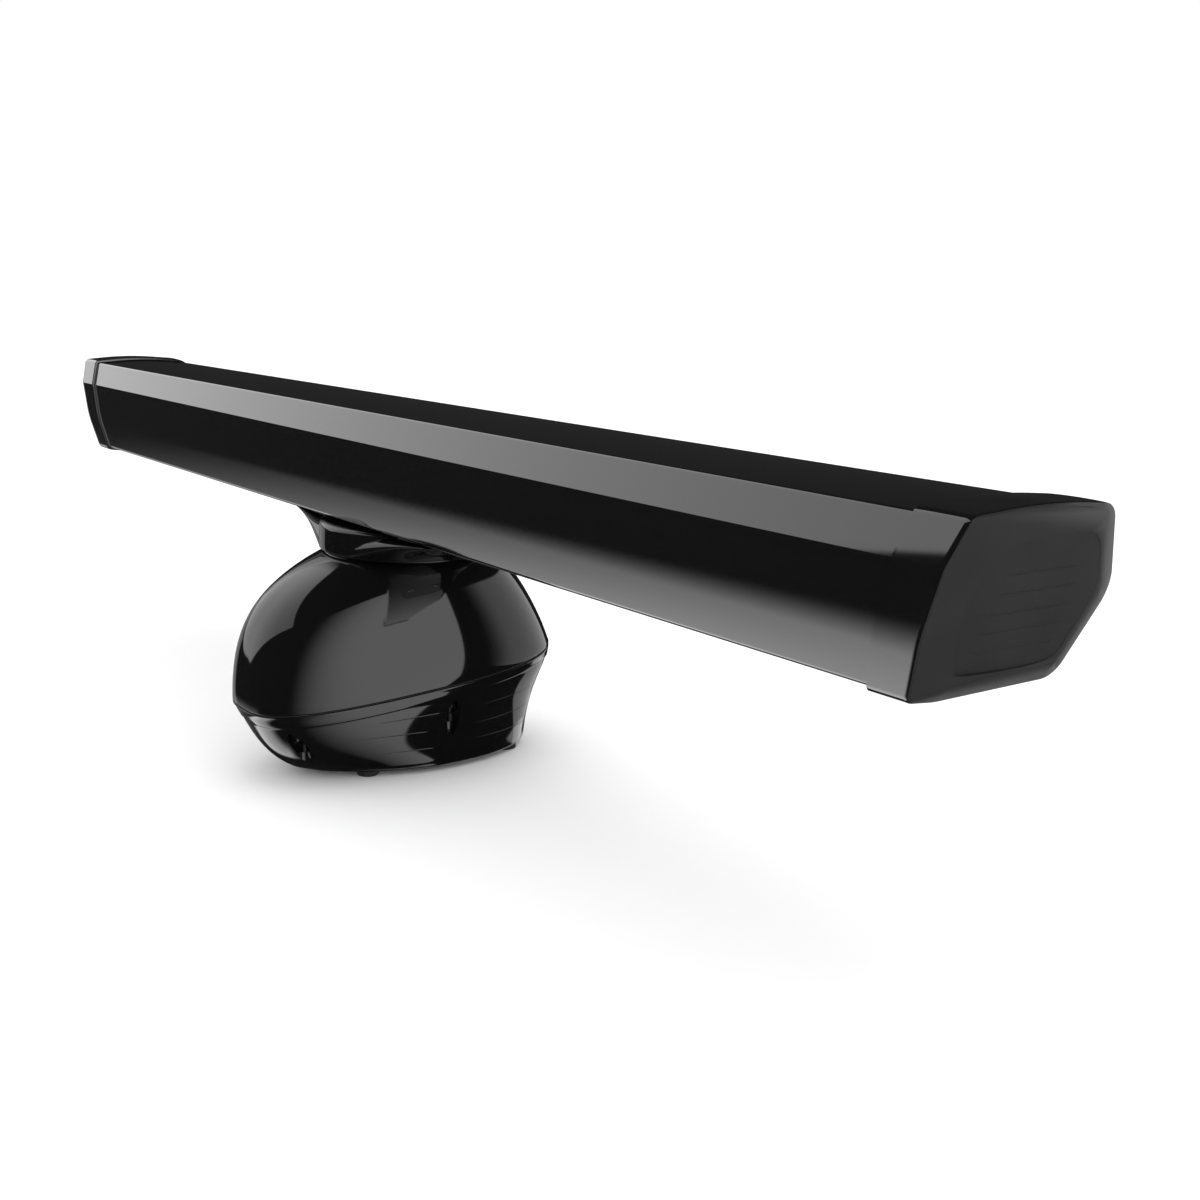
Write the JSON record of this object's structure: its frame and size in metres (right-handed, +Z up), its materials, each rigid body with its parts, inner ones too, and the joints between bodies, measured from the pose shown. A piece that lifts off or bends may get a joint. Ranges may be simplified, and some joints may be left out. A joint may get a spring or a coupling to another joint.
{
  "type": "open-array marine radar scanner",
  "caption": "Marine radar scanner: a long gloss black open array with satin end caps turns on a rounded pedestal that holds its motor, gears, bearings and electronics.",
  "frame": {"origin": "middle of the footprint, at the height of the mounting feet's undersides; the turning axis is 13 mm aft of it", "axes": "+X along the array to starboard, -Y to the bow, +Z up along the turning axis"},
  "size_m": [1.9256, 0.386, 0.4273],
  "materials": {
    "gloss_housing": "high gloss black paint",
    "gloss_array_skin": "high gloss black gel coat",
    "cap_plastic": "satin black, fine grain on the end face",
    "rubber": "matt black",
    "stainless": "brushed",
    "aluminium": "satin",
    "brass": "satin",
    "gear_nylon": "natural nylon",
    "circuit_board": "green solder mask",
    "foam": "matt white foam",
    "dark_plastic": "satin black",
    "switch_red": "dark red"
  },
  "bodies": {
    "pedestal": {"lower_housing": "gloss_housing", "upper_housing": "gloss_housing", "housing_gasket": "rubber", "housing_bolt_1": "stainless", "housing_bolt_2": "stainless", "housing_bolt_3": "stainless", "housing_bolt_4": "stainless", "housing_bolt_5": "stainless", "housing_bolt_6": "stainless", "mounting_foot_1": "rubber", "mounting_foot_2": "rubber", "mounting_foot_3": "rubber", "mounting_foot_4": "rubber", "chassis_plate": "aluminium", "bearing_tower": "aluminium", "lower_bearing": "stainless", "upper_bearing": "stainless", "shaft_seal": "rubber", "rotary_joint": "brass", "waveguide_run": "brass", "transceiver": "aluminium", "power_supply": "aluminium", "control_board": "circuit_board", "drive_motor": "dark_plastic", "motor_bracket": "aluminium", "connector_panel": "dark_plastic", "power_socket": "stainless", "network_socket": "stainless", "earth_stud": "brass", "breather_vent": "dark_plastic", "switch_body": "dark_plastic"},
    "array": {"array_tube": "gloss_array_skin", "end_cap_starboard": "cap_plastic", "end_cap_port": "cap_plastic", "end_gasket_starboard": "rubber", "end_gasket_port": "rubber", "cap_screw_1": "stainless", "cap_screw_2": "stainless", "cap_screw_3": "stainless", "cap_screw_4": "stainless", "array_bracket": "gloss_housing", "array_bolt_1": "stainless", "array_bolt_2": "stainless", "array_bolt_3": "stainless", "array_bolt_4": "stainless", "array_spine": "aluminium", "slotted_guide": "aluminium", "horn": "aluminium", "feed_launcher": "brass", "horn_support_port": "aluminium", "horn_support_starboard": "aluminium", "foam_block_1": "foam", "foam_block_2": "foam", "rotor_shaft": "stainless", "driven_gear": "gear_nylon", "feed_rod": "brass"},
    "motor_rotor": {"motor_pinion": "stainless", "motor_shaft": "stainless"},
    "rocker": {"switch_rocker": "switch_red"}
  },
  "joints": [
    {"name": "array_spin", "type": "hinge", "parent": "pedestal", "child": "array", "pos_m": [0, 0.013, 0.251], "axis": [0, 0, 1], "continuous": true},
    {"name": "motor_spin", "type": "hinge", "parent": "pedestal", "child": "motor_rotor", "pos_m": [0, 0.088, 0.235], "axis": [0, 0, 1], "continuous": true},
    {"name": "switch_rock", "type": "hinge", "parent": "pedestal", "child": "rocker", "pos_m": [0, 0.1535, 0.0595], "axis": [1, 0, 0], "range_deg": [-20, 0]}
  ],
  "couplings": [
    {"joint": "motor_spin", "follows": "array_spin", "ratio": -4}
  ]
}
